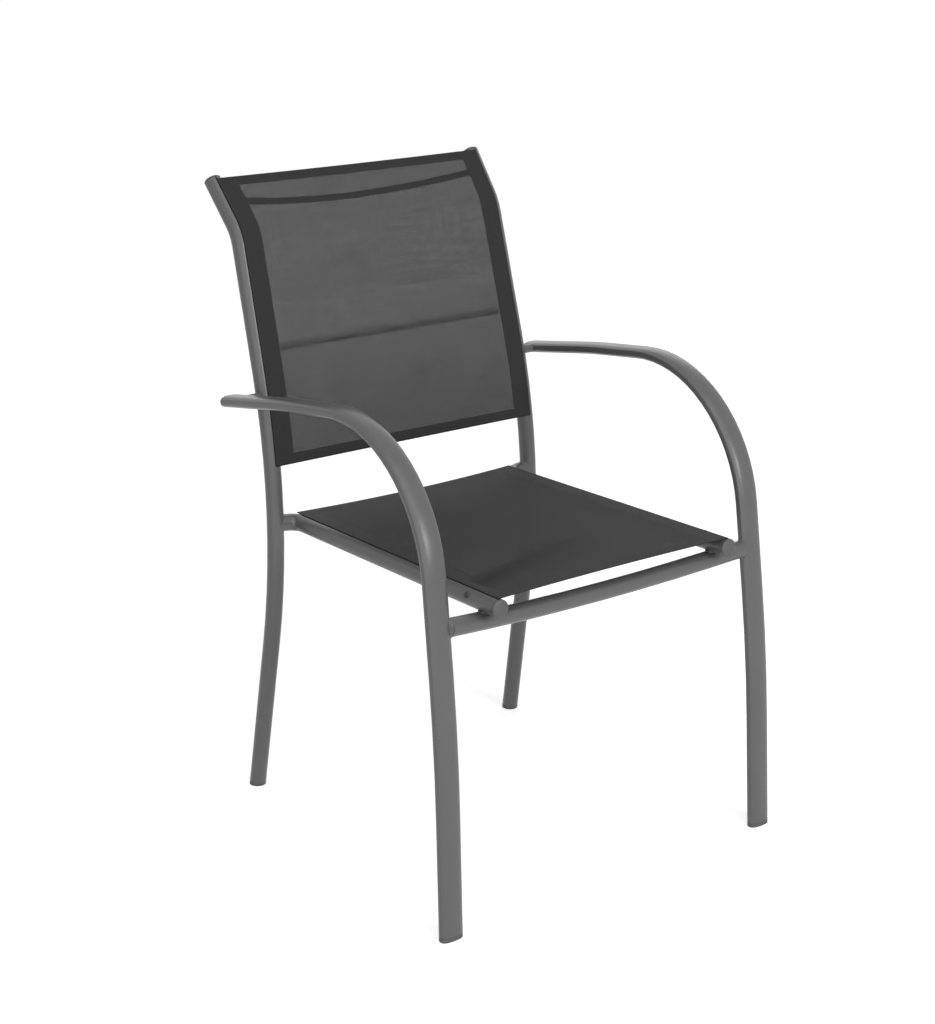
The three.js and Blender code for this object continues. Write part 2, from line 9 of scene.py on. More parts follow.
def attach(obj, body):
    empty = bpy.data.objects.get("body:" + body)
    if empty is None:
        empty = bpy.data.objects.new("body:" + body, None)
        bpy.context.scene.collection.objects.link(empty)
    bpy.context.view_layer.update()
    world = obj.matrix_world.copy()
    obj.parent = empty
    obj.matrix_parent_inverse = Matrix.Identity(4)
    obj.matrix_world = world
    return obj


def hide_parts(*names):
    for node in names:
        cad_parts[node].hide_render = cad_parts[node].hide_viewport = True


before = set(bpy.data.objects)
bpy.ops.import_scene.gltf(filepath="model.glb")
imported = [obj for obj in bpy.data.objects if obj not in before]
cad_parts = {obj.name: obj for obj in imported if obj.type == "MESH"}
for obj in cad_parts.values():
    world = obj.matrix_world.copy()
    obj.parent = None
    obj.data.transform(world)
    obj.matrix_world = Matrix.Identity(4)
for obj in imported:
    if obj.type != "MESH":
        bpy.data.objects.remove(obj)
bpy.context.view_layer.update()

# Looks of a sling patio chair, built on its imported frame. Metres, +Z up, and the sitter faces -Y.
# Left and right are as seen from the front, so right is +X.

# Tubes, as the frame has them
TUBE_RADIUS = 0.0125
PIECE_GAP = 0.0003
ARM_TUBE_WIDTH = 0.035
ARM_CORNER_AHEAD = 0.247
ARM_CORNER_HEIGHT = 0.680
ARM_CORNER_RADIUS = 0.200
SHIN_RAKE = 0.015
SHIN_RISE = 0.264
KNEE_RADIUS = 2.340
LEG_RAKE = 0.058
LEG_SPLAY = 0.011
ARM_FRONT_LENGTH = 0.307
ARM_FRONT_DROP = 0.043
ARM_MIDDLE_RADIUS = 1.000
ARM_REAR_SLOPE_DEGREES = 10.54
ARM_PAST_UPRIGHT = 0.017
ARM_TAPER = 0.005
ARM_SPACER_LENGTH = 0.014
ARM_SPACER_RADIUS = 0.0065
BACK_WIDTH = 0.458
SEAT_BEND_Y = 0.149
SEAT_BEND_HEIGHT = 0.444
SEAT_BEND_RADIUS = 0.885
REAR_LEG_RAKE = 0.078
REAR_LEG_SPLAY = 0.012
BACK_RAKE = 0.111
BACK_RISE = 0.389
BACK_TAPER = 0.007
SHOULDER_RADIUS = 0.070
TOP_RAKE = 0.060
TOP_RISE = 0.067
TOP_FLARE = 0.005
RAIL_STEP_IN = 0.0365
RAIL_TAPER = 0.0035
RAIL_HEIGHT = 0.4412
RAIL_DROP = 0.0164
RAIL_END_RISE = 0.004
RAIL_OVERHANG = 0.034
RAIL_BEND_RADIUS = 0.017
FRONT_BAR_BOW_DOWN = 0.009
FRONT_BAR_BOW_BACK = 0.005
REAR_BAR_RADIUS = 0.010
REAR_BAR_AHEAD = 0.062
REAR_BAR_DROP = 0.001
TOP_BAR_RADIUS = 0.005
TOP_BAR_BELOW_END = 0.0325
BACK_SLOT_DEGREES = 4
SEAT_SLOT_DEGREES = 3

# Slings: two layers of coated mesh where a pocket or a hem is folded back, one elsewhere.
# A layer's lift is its height over the tubes.
CLOTH_THICKNESS = 0.00013
UNDER_LAYER_LIFT = 0.0005
TOP_LAYER_LIFT = 0.0012
POCKET_WIDTH = 0.028
POCKET_COLUMNS = 6
HEM_WIDTH = 0.014
HEM_ROLL_ROWS = 7
HEM_FLAT_ROWS = 4
FOLD_FADE = 0.003
SLOT_DIVE = 0.0018
SLOT_FADE = 0.004
CLOTH_STEP = 0.003
BACK_SLING_ABOVE_RAIL = 0.0887
BACK_SLING_BELOW_TOP = 0.004
BACK_SLING_SAG = 0.002
BACK_SEAM_HEIGHT = 0.670
SEAM_WIDTH = 0.019
SEAM_FOLD_SHARE = 0.48
SEAT_SLING_FRONT_MARGIN = 0.0005
SEAT_SLING_REAR_REACH = 0.0005
SEAT_SLING_SAG = 0.001
SEAT_FRONT_HOLLOW = 0.007
SEAT_REAR_HOLLOW = 0.009

# The seat's crease: where it lies along the rails at the left side and in the middle, how wide it is
# at both, how deep, how fast it starts and fades, how much wider its front side is than its rear
# side, how far it closes the mesh, and how far painted shade darkens its colour
CREASE_START = 0.062
CREASE_END = 0.122
CREASE_NARROW = 0.015
CREASE_WIDE = 0.021
CREASE_DEPTH = 0.004
CREASE_RAMP_SHARE = 0.12
CREASE_REACH_SHARE = 0.5
CREASE_FADE_SHARE = 1.4
CREASE_FRONT_SHARE = 1.9
CREASE_CLOSED_SHARE = 0.9
CREASE_PAINTED_SHADE_SHARE = 0.8

# Mesh: the yarns' pitches, how open the holes are and how much the yarns' thickness varies, how far
# the sag closes the back's holes low down, and how far the shoulder opens them
WARP_PITCH = 0.00096
WEFT_PITCH = 0.00108
OPEN_SHARE = 0.345
SLUB_SHARE = 0.4
CROSSING_SHARE = 0.5
SAG_CLOSED_SHARE = 0.25
TOP_OPENED_SHARE = 0.13
SHOULDER_FADE = 0.04

# Stitches of the pockets and hems
STITCH_LENGTH = 0.0032
STITCH_PITCH = 0.0042
STITCH_RADIUS = 0.00028
POCKET_SEAM_INSET = 0.003
HEM_SEAM_INSET = 0.0025
STITCH_SIDES = 6
# Along the stitch, how thick, and how high its back arches, all as shares
STITCH_RINGS = [(-1, 0.15, -0.8), (-0.75, 0.8, 0.1), (0, 1, 0.5), (0.75, 0.8, 0.1), (1, 0.15, -0.8)]

# Welds. A bowed bar's end meets its tube in the direction given for the right side.
WELD_LEG = 0.002
SPACER_WELD_LEG = 0.0015
WELD_RIPPLE_LENGTH = 0.0028
WELD_RIPPLE = 0.00012
WELD_RIPPLE_SLANT = 3
WELD_STATIONS = 96
WELD_RINGS = 6
WELD_SINK = 0.0002
WELD_SMOOTH_ROUNDS = 4
OUTWARD = (1, 0, 0)
REAR_BAR_END = (1, 0, 0.2)
TOP_BAR_END = (1, -0.2, 0.1)
CROSSING_WELD_RADIUS = 0.0016
CROSSING_WELD_REACH = 0.006
CROSSING_WELD_SIDES = 8

# Edges sharper than this stay sharp, and corners closer than this are joined
SHARP_DEGREES = 35
SAME_PLACE = 0.000001

SEARCH_ROUNDS = 50

# Screen levels of the finishes, darkest and lightest
PAINT_LEVELS = (80, 94)
PLASTIC_LEVELS = (70, 86)
CLOTH_LEVELS = (34, 52)
FOLD_LEVELS = (34, 50)
# The darkest grey of the seat crease's painted shade
PAINTED_CREASE_SHADE_LEVEL = 16
THREAD_LEVELS = (28, 50)
ROD_LEVELS = (34, 52)
METAL_LEVELS = (38, 58)
FLOOR_LEVEL = 230
WHITE = (1, 1, 1, 1)

# Their roughness, smoothest and roughest
PAINT_ROUGHNESS = (0.28, 0.36)
SCUFF_ROUGHNESS = 0.2
PLASTIC_ROUGHNESS = (0.50, 0.64)
CLOTH_ROUGHNESS = (0.65, 0.85)
THREAD_ROUGHNESS = (0.55, 0.75)
ROD_ROUGHNESS = (0.45, 0.60)
METAL_ROUGHNESS = (0.42, 0.62)

# Their gloss and relief
PAINT_GLOSS = 0.45
CLOTH_GLOSS = 0.2
CLOTH_SHEEN = 0.03
CLOTH_SHEEN_ROUGHNESS = 0.4
METAL_SHARE = 0.3
SKIN_DEPTH = 0.00004
GRAIN_DEPTH = 0.0001
YARN_DEPTH = 0.0002

# Grain, in spots per metre. A slub runs along its yarn, and a draw mark along its rod.
PAINT_CLOUDS = 9.0
PAINT_SPECKLES = 1400.0
PAINT_SKIN = 520.0
SCUFF_SPOTS = 160.0
PLASTIC_GRAIN = 1600.0
PLASTIC_RUBS = 55.0
SLUBS_ACROSS = 420.0
SLUBS_ALONG = 9.0
CLOTH_CLOUDS = 7.0
THREAD_TWIST = 2600.0
DRAW_MARKS = 900.0
DRAW_MARK_SHARE = 0.02
METAL_RUBS = 700.0

# Scuffs: how far up the legs they reach and fade, and how much of the grain shows as one
SCUFF_HEIGHT = 0.05
SCUFF_FADE = 0.05
SCUFF_START = 0.56
SCUFF_CONTRAST = 4
SCUFF_TONE_SHARE = 0.25

# Light
ROOM_FILL = 0.42
FRONT_PLACE = (-3.3, -3.7, 1.65)
FRONT_SIZE = (6.5, 3.0)
FRONT_WATTS = 80
KEY_PLACE = (0.3, -3.4, 1.95)
KEY_SIZE = (1.1, 1.0)
KEY_WATTS = 48
REAR_PLACE = (2.8, 3.4, 2.4)
REAR_SIZE = (4.0, 2.5)
REAR_WATTS = 25
TOP_PLACE = (-0.6, -1.6, 3.2)
TOP_SIZE = (2.4, 2.4)
TOP_WATTS = 24
LIGHT_AIM = (0, 0, 0.45)
FLOOR_SIZE = 6
FLOOR_LIFT = 0.58

# The photograph's viewpoint
CAMERA_PLACE = (-1.6824, -2.2593, 1.3913)
CAMERA_AZIMUTH_DEGREES = -36.4485
CAMERA_PITCH_DEGREES = 18.5327
CAMERA_ROLL_DEGREES = 0.0818
FILM_SIZE_MM = 36
IMAGE_HEIGHT_PX = 1024
FOCAL_LENGTH_PX = 2075.45


def grey(level):
    """Linear grey that shows as an 8-bit screen level."""
    share = level / 255
    linear = share / 12.92 if share <= 0.04045 else ((share + 0.055) / 1.055) ** 2.4
    return (linear, linear, linear, 1)


def unit(vector):
    return vector / np.linalg.norm(vector)


def smooth(share):
    """A share from 0 to 1 with a soft start and end."""
    share = min(max(share, 0), 1)
    return share * share * (3 - 2 * share)


# Material building

class Signal:
    """A number that changes over a surface, held as a node's output. Arithmetic on it adds Math nodes."""

    def __init__(self, nodes, socket):
        self.nodes = nodes
        self.socket = socket

    def maths(self, operation, *terms):
        node = self.nodes.add("ShaderNodeMath", {"operation": operation}, dict(enumerate(terms)))
        return Signal(self.nodes, node.outputs[0])

    def __add__(self, other):
        return self.maths("ADD", self, other)

    def __radd__(self, other):
        return self.maths("ADD", other, self)

    def __sub__(self, other):
        return self.maths("SUBTRACT", self, other)

    def __rsub__(self, other):
        return self.maths("SUBTRACT", other, self)

    def __mul__(self, other):
        return self.maths("MULTIPLY", self, other)

    def __rmul__(self, other):
        return self.maths("MULTIPLY", other, self)

    def __truediv__(self, other):
        return self.maths("DIVIDE", self, other)

    def __lt__(self, other):
        return self.maths("LESS_THAN", self, other)

    def __abs__(self):
        return self.maths("ABSOLUTE", self)

    def whole(self):
        return self.maths("FLOOR", self)

    def fraction(self):
        return self.maths("FRACT", self)

    def root(self):
        return self.maths("SQRT", self)

    def smallest(self, other):
        return self.maths("MINIMUM", self, other)

    def largest(self, other):
        return self.maths("MAXIMUM", self, other)


class Nodes:
    """Adds nodes to one tree and links them."""

    def __init__(self, tree):
        self.tree = tree
        tree.nodes.clear()

    def add(self, kind, settings=None, values=None):
        """A node with its settings, and then the values or links of its sockets."""
        node = self.tree.nodes.new(kind)
        for setting, value in (settings or {}).items():
            setattr(node, setting, value)
        for key, value in (values or {}).items():
            self.feed(node.inputs[key], value)
        return node

    def feed(self, socket, value):
        if isinstance(value, Signal):
            value = value.socket
        if isinstance(value, bpy.types.NodeSocket):
            self.tree.links.new(value, socket)
        else:
            socket.default_value = value

    def signal(self, node, output=0):
        return Signal(self, node.outputs[output])

    def seen_rays(self):
        """1 for what the camera sees, straight or by way of gloss and see-through holes."""
        path = self.add("ShaderNodeLightPath")
        seen = self.signal(path, "Is Camera Ray")
        seen = seen.largest(self.signal(path, "Is Glossy Ray"))
        return seen.largest(self.signal(path, "Is Transmission Ray"))

    def chosen(self, share, first, second):
        """The first shader where share is 0, and the second where it is 1."""
        return self.add("ShaderNodeMixShader", {}, {0: share, 1: first.outputs[0], 2: second.outputs[0]})


class Finish(Nodes):
    """The nodes of one material."""

    def __init__(self, name):
        self.material = bpy.data.materials.new(name)
        self.material.use_nodes = True
        super().__init__(self.material.node_tree)

    def place(self):
        return self.add("ShaderNodeTexCoord").outputs["Object"]

    def scaled(self, vector, factors):
        node = self.add("ShaderNodeVectorMath", {"operation": "MULTIPLY"}, {0: vector, 1: factors})
        return node.outputs[0]

    def noise(self, vector, per_metre, detail):
        values = {"Vector": vector, "Scale": per_metre, "Detail": detail}
        return self.signal(self.add("ShaderNodeTexNoise", {}, values), "Fac")

    def blended(self, share, first, second):
        node = self.add("ShaderNodeMix", {"data_type": "RGBA"}, {0: share, 6: first, 7: second})
        return node.outputs[2]

    def toned(self, tone, levels):
        """A grey between two screen levels."""
        darkest, lightest = levels
        return self.blended(tone, grey(darkest), grey(lightest))

    def roughened(self, tone, roughness):
        smoothest, roughest = roughness
        return smoothest + tone * (roughest - smoothest)

    def bump(self, height, depth, strength):
        values = {"Height": height, "Distance": depth, "Strength": strength}
        return self.add("ShaderNodeBump", {}, values).outputs["Normal"]

    def surface(self, shader):
        self.add("ShaderNodeOutputMaterial", {}, {"Surface": shader.outputs[0]})
        return self.material

    def finish(self, values):
        return self.surface(self.add("ShaderNodeBsdfPrincipled", {}, values))


def satin_paint():
    """Grey powder coat: a fine orange-peel skin, faint cloudiness, and scuffs low on the legs."""
    finish = Finish("satin_grey_paint")
    place = finish.place()
    cloud = finish.noise(place, PAINT_CLOUDS, detail=2.0)
    speckle = finish.noise(place, PAINT_SPECKLES, detail=1.0)
    height = finish.signal(finish.add("ShaderNodeSeparateXYZ", {}, {0: place}), "Z")
    low = ((SCUFF_HEIGHT - height) / SCUFF_FADE).largest(0).smallest(1)
    spots = (finish.noise(place, SCUFF_SPOTS, detail=4.0) - SCUFF_START).largest(0)
    scuffs = spots * SCUFF_CONTRAST * low
    tone = cloud * 0.5 + speckle * 0.5 + scuffs.smallest(1) * SCUFF_TONE_SHARE
    skin = finish.noise(place, PAINT_SKIN, detail=2.0)
    return finish.finish({
        "Base Color": finish.toned(tone, PAINT_LEVELS),
        "Roughness": finish.roughened(cloud, PAINT_ROUGHNESS) + scuffs * SCUFF_ROUGHNESS,
        "Normal": finish.bump(skin, SKIN_DEPTH, strength=0.35),
        "Specular IOR Level": PAINT_GLOSS,
    })


def moulded_plastic():
    """Grey plastic of the caps, plugs and feet: fine spark-eroded grain, a little rubbed here and there.
    """
    finish = Finish("moulded_grey_plastic")
    place = finish.place()
    grain = finish.noise(place, PLASTIC_GRAIN, detail=3.0)
    rubbed = finish.noise(place, PLASTIC_RUBS, detail=3.0)
    return finish.finish({
        "Base Color": finish.toned(rubbed, PLASTIC_LEVELS),
        "Roughness": finish.roughened(rubbed, PLASTIC_ROUGHNESS),
        "Normal": finish.bump(grain, GRAIN_DEPTH, strength=0.4),
    })


def sling_mesh():
    """Charcoal coated mesh: two sets of yarns over and under each other, with holes between.
    Where the cloth is folded double, its holes are closed and it looks darker; painted shade darkens the
    seat's crease."""
    finish = Finish("charcoal_sling_mesh")
    yarn = finish.add("ShaderNodeAttribute", {"attribute_name": "yarn"}).outputs["Vector"]
    folded = finish.signal(finish.add("ShaderNodeAttribute", {"attribute_name": "folded"}), "Fac")
    # How much painted shade darkens the seat's crease, stored on the cloth's points
    painted_crease_shade = finish.add("ShaderNodeAttribute", {"attribute_name": "painted_crease_shade"}).outputs["Fac"]
    parted = finish.add("ShaderNodeSeparateXYZ", {}, {0: yarn})
    across = finish.signal(parted, "X") / WARP_PITCH
    along = finish.signal(parted, "Y") / WEFT_PITCH
    streaks = finish.noise(finish.scaled(yarn, (SLUBS_ACROSS, SLUBS_ALONG, 1)), 1.0, detail=2.0)
    picks = finish.noise(finish.scaled(yarn, (SLUBS_ALONG, SLUBS_ACROSS, 1)), 1.0, detail=2.0)
    slubs = 1 + ((streaks - 0.5) + (picks - 0.5)) * SLUB_SHARE
    half_yarn = (1 - (1 - folded) * slubs * OPEN_SHARE) / 2
    off_warp = abs(across.fraction() - 0.5) / half_yarn
    off_weft = abs(along.fraction() - 0.5) / half_yarn
    # -1 or 1, in turn, for which of the two yarns lies over the other at a crossing
    turn = ((across.whole() + along.whole()) * 0.5).fraction() * 4 - 1
    warp_round = (1 - (off_warp * off_warp).smallest(1)).root()
    weft_round = (1 - (off_weft * off_weft).smallest(1)).root()
    warp_over = warp_round * (1 + turn * weft_round * CROSSING_SHARE)
    weft_over = weft_round * (1 - turn * warp_round * CROSSING_SHARE)
    cloud = finish.noise(yarn, CLOTH_CLOUDS, detail=3.0)
    tone = streaks * 0.5 + picks * 0.25 + cloud * 0.25
    clean = finish.blended(folded, finish.toned(tone, CLOTH_LEVELS), finish.toned(tone, FOLD_LEVELS))
    return finish.finish({
        # Painted shade: the seat's crease is blended towards a dark grey
        "Base Color": finish.blended(painted_crease_shade, clean, grey(PAINTED_CREASE_SHADE_LEVEL)),
        "Roughness": finish.roughened(streaks, CLOTH_ROUGHNESS),
        "Alpha": (off_warp < 1).largest(off_weft < 1),
        "Normal": finish.bump(warp_over.largest(weft_over), YARN_DEPTH, strength=0.5),
        "Specular IOR Level": CLOTH_GLOSS,
        "Sheen Weight": CLOTH_SHEEN,
        "Sheen Roughness": CLOTH_SHEEN_ROUGHNESS,
    })


def thread():
    """Dark bonded thread with its twist."""
    finish = Finish("dark_bonded_thread")
    twist = finish.noise(finish.place(), THREAD_TWIST, detail=1.0)
    return finish.finish({
        "Base Color": finish.toned(twist, THREAD_LEVELS),
        "Roughness": finish.roughened(twist, THREAD_ROUGHNESS),
        "Normal": finish.bump(twist, GRAIN_DEPTH, strength=0.6),
    })


def dark_rod_plastic():
    """Dark extruded plastic with lengthwise draw marks."""
    finish = Finish("dark_extruded_plastic")
    stretched = finish.scaled(finish.place(), (1, DRAW_MARK_SHARE, DRAW_MARK_SHARE))
    drawn = finish.noise(stretched, DRAW_MARKS, detail=2.0)
    return finish.finish({
        "Base Color": finish.toned(drawn, ROD_LEVELS),
        "Roughness": finish.roughened(drawn, ROD_ROUGHNESS),
        "Normal": finish.bump(drawn, GRAIN_DEPTH, strength=0.3),
    })


def dark_metal():
    """Dark coated rivet head, rubbed here and there."""
    finish = Finish("dark_coated_metal")
    worn = finish.noise(finish.place(), METAL_RUBS, detail=3.0)
    return finish.finish({
        "Base Color": finish.toned(worn, METAL_LEVELS),
        "Metallic": METAL_SHARE,
        "Roughness": finish.roughened(worn, METAL_ROUGHNESS),
        "Normal": finish.bump(worn, GRAIN_DEPTH, strength=0.3),
    })


def pale_floor():
    """White floor. The camera and reflections see it lifted to white, and its shadows stay."""
    finish = Finish("white_floor")
    base = finish.add("ShaderNodeBsdfDiffuse", {}, {"Color": grey(FLOOR_LEVEL)})
    glow = finish.add("ShaderNodeEmission", {}, {"Color": WHITE, "Strength": FLOOR_LIFT})
    lifted = finish.add("ShaderNodeAddShader", {}, {0: base.outputs[0], 1: glow.outputs[0]})
    return finish.surface(finish.chosen(finish.seen_rays(), base, lifted))


PAINT = satin_paint()
PLASTIC = moulded_plastic()
MESH_CLOTH = sling_mesh()
THREAD = thread()
ROD_PLASTIC = dark_rod_plastic()
RIVET_METAL = dark_metal()


# Centre lines of the tubes that carry the slings

class CentreLine:
    """A bent tube's centre line: straight runs between corners, with a round bend at each inner one."""

    def __init__(self, corners, radii, facing_rule):
        self.corners = [np.array(corner, float) for corner in corners]
        self.facing_rule = facing_rule
        self.runs = []
        start = self.corners[0]
        for before, corner, after, radius in zip(self.corners, self.corners[1:], self.corners[2:], radii):
            ahead = unit(corner - before)
            onward = unit(after - corner)
            turn = math.acos(ahead @ onward)
            cut = radius * math.tan(turn / 2)
            bend_start = corner - ahead * cut
            self.runs.append((np.linalg.norm(bend_start - start), start, ahead, None, None))
            inward = unit(onward - ahead * (onward @ ahead))
            self.runs.append((radius * turn, bend_start, ahead, inward, radius))
            start = corner + onward * cut
        end = self.corners[-1]
        self.runs.append((np.linalg.norm(end - start), start, unit(end - start), None, None))
        self.length = sum(run[0] for run in self.runs)

    def run_at(self, distance):
        """The run that a distance from the start falls in, and how far along that run it is."""
        for run in self.runs[:-1]:
            if distance < run[0]:
                return run, distance
            distance -= run[0]
        return self.runs[-1], distance

    def at(self, distance):
        """Place, direction, facing axis and outward axis at a distance from the start."""
        (_, start, ahead, inward, radius), distance = self.run_at(distance)
        if radius is None:
            place = start + ahead * distance
            direction = ahead
        else:
            turn = distance / radius
            place = start + ahead * radius * math.sin(turn) + inward * radius * (1 - math.cos(turn))
            direction = ahead * math.cos(turn) + inward * math.sin(turn)
        facing, outward = self.facing_rule(direction)
        return place, direction, facing, outward

    def distance_at_height(self, height):
        low, high = 0.0, self.length
        for _ in range(SEARCH_ROUNDS):
            middle = (low + high) / 2
            if self.at(middle)[0][2] < height:
                low = middle
            else:
                high = middle
        return low

    def at_height(self, height):
        """The line's place at a height, which it climbs past once and then stays above."""
        return self.at(self.distance_at_height(height))[0]


def level_across(direction):
    across = np.array([1.0, 0, 0])
    outward = unit(across - direction * (across @ direction))
    return np.cross(outward, direction), outward


def level_upright(direction):
    up = np.array([0, 0, 1.0])
    facing = unit(up - direction * (up @ direction))
    return facing, np.cross(direction, facing)


def upright_line():
    half = BACK_WIDTH / 2
    shoulder = np.array([half - BACK_TAPER, SEAT_BEND_Y + BACK_RAKE, SEAT_BEND_HEIGHT + BACK_RISE])
    corners = [
        (half + REAR_LEG_SPLAY, SEAT_BEND_Y + REAR_LEG_RAKE, 0),
        (half, SEAT_BEND_Y, SEAT_BEND_HEIGHT),
        shoulder,
        shoulder + np.array([TOP_FLARE, TOP_RAKE, TOP_RISE]),
    ]
    return CentreLine(corners, [SEAT_BEND_RADIUS, SHOULDER_RADIUS], level_across)


def arm_line():
    """The flat oval tube of the right front leg and arm."""
    middle_y = ARM_FRONT_LENGTH - ARM_CORNER_AHEAD
    middle_z = ARM_CORNER_HEIGHT - ARM_FRONT_DROP
    slope = math.tan(math.radians(ARM_REAR_SLOPE_DEGREES))
    joint = UPRIGHT.at_height(middle_z)
    for _ in range(SEARCH_ROUNDS):
        joint = UPRIGHT.at_height(middle_z - slope * (joint[1] - middle_y))
    rear = joint + unit(np.array([0, 1, -slope])) * ARM_PAST_UPRIGHT
    rear[0] = joint[0] + TUBE_RADIUS + ARM_SPACER_LENGTH + ARM_TUBE_WIDTH / 2
    corner_x = rear[0] - ARM_TAPER
    knee_y = -ARM_CORNER_AHEAD - LEG_RAKE
    shin_share = SHIN_RISE / ARM_CORNER_HEIGHT
    front_share = ARM_FRONT_LENGTH / (rear[1] + ARM_CORNER_AHEAD)
    corners = [
        (corner_x + LEG_SPLAY, knee_y - SHIN_RAKE, 0),
        (corner_x + LEG_SPLAY * (1 - shin_share), knee_y, SHIN_RISE),
        (corner_x, -ARM_CORNER_AHEAD, ARM_CORNER_HEIGHT),
        (corner_x + ARM_TAPER * front_share, middle_y, middle_z),
        rear,
    ]
    radii = [KNEE_RADIUS, ARM_CORNER_RADIUS, ARM_MIDDLE_RADIUS]
    return joint, CentreLine(corners, radii, level_across)


def front_bar_end():
    """Where the front crossbar's middle line meets the right front leg, and how far the bar has
    bowed back by the place where the rail lies on it."""
    leg = ARM.at_height(RAIL_HEIGHT - 2 * TUBE_RADIUS)
    end_x = leg[0] - ARM_TUBE_WIDTH / 2
    share = 1 - ((RAIL_X + RAIL_TAPER) / end_x) ** 2
    height = RAIL_HEIGHT - 2 * TUBE_RADIUS - PIECE_GAP + FRONT_BAR_BOW_DOWN * share
    return np.array([end_x, leg[1], height]), FRONT_BAR_BOW_BACK * share


def rail_lines():
    """The right seat rail's straight part, where it crosses the front bar, and where it ends."""
    rear_z = RAIL_HEIGHT - RAIL_DROP
    joint = UPRIGHT.at_height(rear_z + RAIL_END_RISE)
    corner = np.array([RAIL_X, joint[1], rear_z])
    bar_end, bowed_back = FRONT_BAR
    over_bar = np.array([RAIL_X + RAIL_TAPER, bar_end[1] + bowed_back, RAIL_HEIGHT])
    front = over_bar + unit(over_bar - corner) * RAIL_OVERHANG
    return CentreLine([front, corner], [], level_upright), over_bar, joint


UPRIGHT = upright_line()
ARM_JOINT, ARM = arm_line()
RAIL_X = BACK_WIDTH / 2 - RAIL_STEP_IN
FRONT_BAR = front_bar_end()
RAIL, RAIL_OVER_BAR, RAIL_JOINT = rail_lines()


# Mesh building

def add_to_scene(name, data):
    thing = bpy.data.objects.new(name, data)
    bpy.context.scene.collection.objects.link(thing)
    return thing


def add_object(name, vertices, faces, material):
    mesh = bpy.data.meshes.new(name)
    mesh.from_pydata([tuple(vertex) for vertex in vertices], [], faces)
    mesh.update()
    mesh.polygons.foreach_set("use_smooth", [True] * len(mesh.polygons))
    mesh.materials.append(material)
    piece = add_to_scene(name, mesh)
    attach(piece, "root")
    return piece


def grid_faces(rows, columns):
    faces = []
    for row in range(rows - 1):
        for column in range(columns - 1):
            corner = row * columns + column
            faces.append((corner, corner + 1, corner + columns + 1, corner + columns))
    return faces


def spread(start, end, step):
    count = max(2, int(round(abs(end - start) / step)) + 1)
    return np.linspace(start, end, count)


class Sling:
    """A sheet stretched between a tube on the right and its mirror image on the left."""

    def __init__(self, name, line, start, end, slot_end, slot_degrees, sag, hollows, seams):
        self.name = name
        self.line = line
        self.start = start
        self.end = end
        self.slot_end = slot_end
        self.slot_turn = math.radians(slot_degrees)
        self.sag = sag
        self.front_hollow, self.rear_hollow = hollows
        self.seams = seams

    def half_width(self, distance):
        return self.line.at(distance)[0][0]

    def hollowed(self, distance, share):
        """Where along the tubes a point lies, once the free ends are hollowed in the middle."""
        inward = 1 - share * share
        passed = (distance - self.start) / (self.end - self.start)
        return distance + inward * (self.front_hollow * (1 - passed) - self.rear_hollow * passed)

    def place(self, across, distance, lift):
        """A point of the sheet. across is measured over the surface from the middle, and what is
        past the slot goes down into the tube."""
        side = 1 if across >= 0 else -1
        rest = abs(across)
        half = self.half_width(distance)
        share = min(rest / half, 1)
        distance = self.hollowed(distance, share)
        centre, _, facing, outward = self.line.at(distance)
        radius = TUBE_RADIUS + lift
        if rest <= half:
            rise = radius - self.sag * (1 - share * share) - self.pull(side * share, distance)
            point = centre + facing * rise
            point[0] *= share
        else:
            turn = min((rest - half) / radius, self.slot_turn)
            dive = max(rest - half - radius * self.slot_turn, 0)
            direction = facing * math.cos(turn) + outward * math.sin(turn)
            point = centre + direction * (radius - dive)
        point[0] *= side
        return point

    def pull(self, share, distance):
        """How deep the tension pulls the sheet below its even sag."""
        return 0.0

    def edge(self, distance, lift):
        """Distance over the surface from the middle to the slot."""
        return self.half_width(distance) + (TUBE_RADIUS + lift) * self.slot_turn

    def dive_at(self, distance):
        """How far the edge goes into the slot, and nothing past the slot's end."""
        return SLOT_DIVE * min(max((self.slot_end - distance) / SLOT_FADE, 0), 1)

    def sheet(self, name, rows, columns_at, lift, folded):
        """A layer of cloth with these rows, whose columns are distances over the surface."""
        vertices = []
        flat = []
        for distance in rows:
            for across in columns_at(distance, lift):
                vertices.append(self.place(across, distance, lift))
                flat.append((across, distance, 0.0))
        columns = len(vertices) // len(rows)
        return cloth_piece(name, vertices, flat, len(rows), columns, folded)

    def doubled(self, flat_place):
        """How far the cloth is closed at a flat place: 1 where it lies double, in pockets and hems."""
        across, distance, _ = flat_place
        over_pocket = abs(across) - (self.half_width(distance) - POCKET_WIDTH)
        over_hem = HEM_WIDTH - min(distance - self.start, self.end - distance)
        double = smooth(max(over_pocket, over_hem) / FOLD_FADE + 0.5)
        for seam in self.seams:
            passed = (distance - seam) / SEAM_WIDTH
            if 0 <= passed <= 1:
                double = max(double, SEAM_FOLD_SHARE * (1 - passed))
        return max(double, self.tension(across, distance))

    def tension(self, across, distance):
        """How far the pull closes the holes where the cloth lies single, or below 0 how far it
        opens them."""
        return 0.0

    def painted_crease_shade(self, flat_place):
        """How much painted shade darkens a crease at a flat place."""
        return 0.0

    def wrap_columns(self, distance, lift):
        """Columns from the tube's top over its side and into the slot."""
        half = self.half_width(distance)
        edge = self.edge(distance, lift)
        dive = self.dive_at(distance)
        return [half + (edge - half) * share for share in (0.5, 1)] + [edge + dive / 2, edge + dive]

    def full_columns(self, distance, lift):
        count = int(round(2 * self.half_width(self.start) / CLOTH_STEP))
        middle = list(self.half_width(distance) * np.linspace(-1, 1, count + 1))
        wrap = self.wrap_columns(distance, lift)
        return [-across for across in reversed(wrap)] + middle + wrap

    def right_pocket_columns(self, distance, lift):
        half = self.half_width(distance)
        flat = np.linspace(half - POCKET_WIDTH, half, POCKET_COLUMNS)
        return list(flat) + self.wrap_columns(distance, lift)

    def left_pocket_columns(self, distance, lift):
        return [-across for across in reversed(self.right_pocket_columns(distance, lift))]


